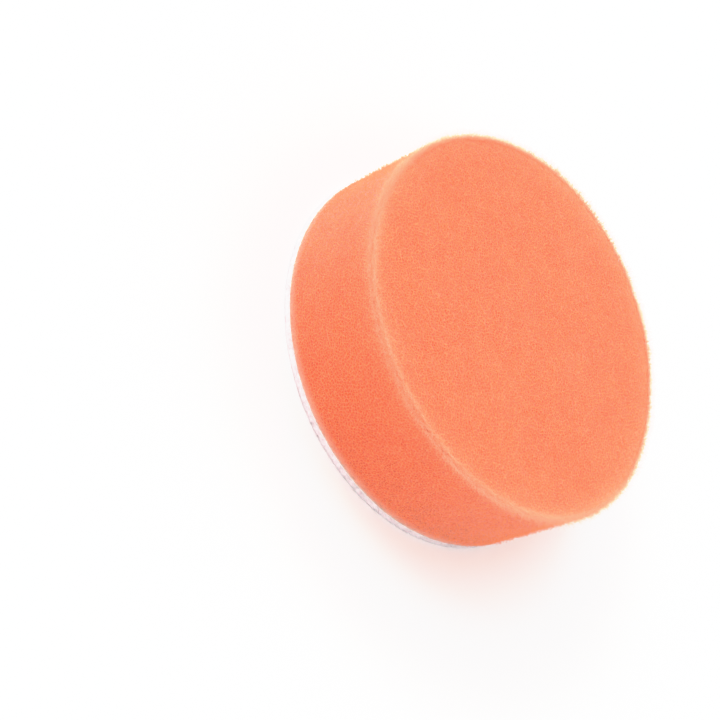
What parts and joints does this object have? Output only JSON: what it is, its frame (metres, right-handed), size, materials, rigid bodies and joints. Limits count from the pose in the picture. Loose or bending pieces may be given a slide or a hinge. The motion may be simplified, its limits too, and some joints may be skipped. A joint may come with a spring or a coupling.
{
  "type": "foam polishing pad",
  "caption": "Round orange open-cell foam polishing pad with a straight side, a lightly rounded working edge and a white hook-and-loop fabric backing.",
  "frame": {"origin": "centre of the loop face, the flat face that the pad is fastened by and lies on", "axes": "+Z along the pad's axis, from the loop face to the working face; the pad is round, so X and Y are free"},
  "size_m": [0.08, 0.08, 0.0256],
  "materials": {
    "loop_pile": "brushed loop pile, white with a faint lavender tint, in fine rows",
    "ground_knit": "tight warp knit, off-white",
    "adhesive": "thin milky hot-melt film with foam cells pressed into it",
    "foam": "flexible open-cell polyurethane foam, fine even cells, matt"
  },
  "bodies": {
    "root": {"backing_loop_pile": "loop_pile", "backing_ground_knit": "ground_knit", "adhesive_film": "adhesive", "foam_disc": "foam"}
  },
  "joints": []
}
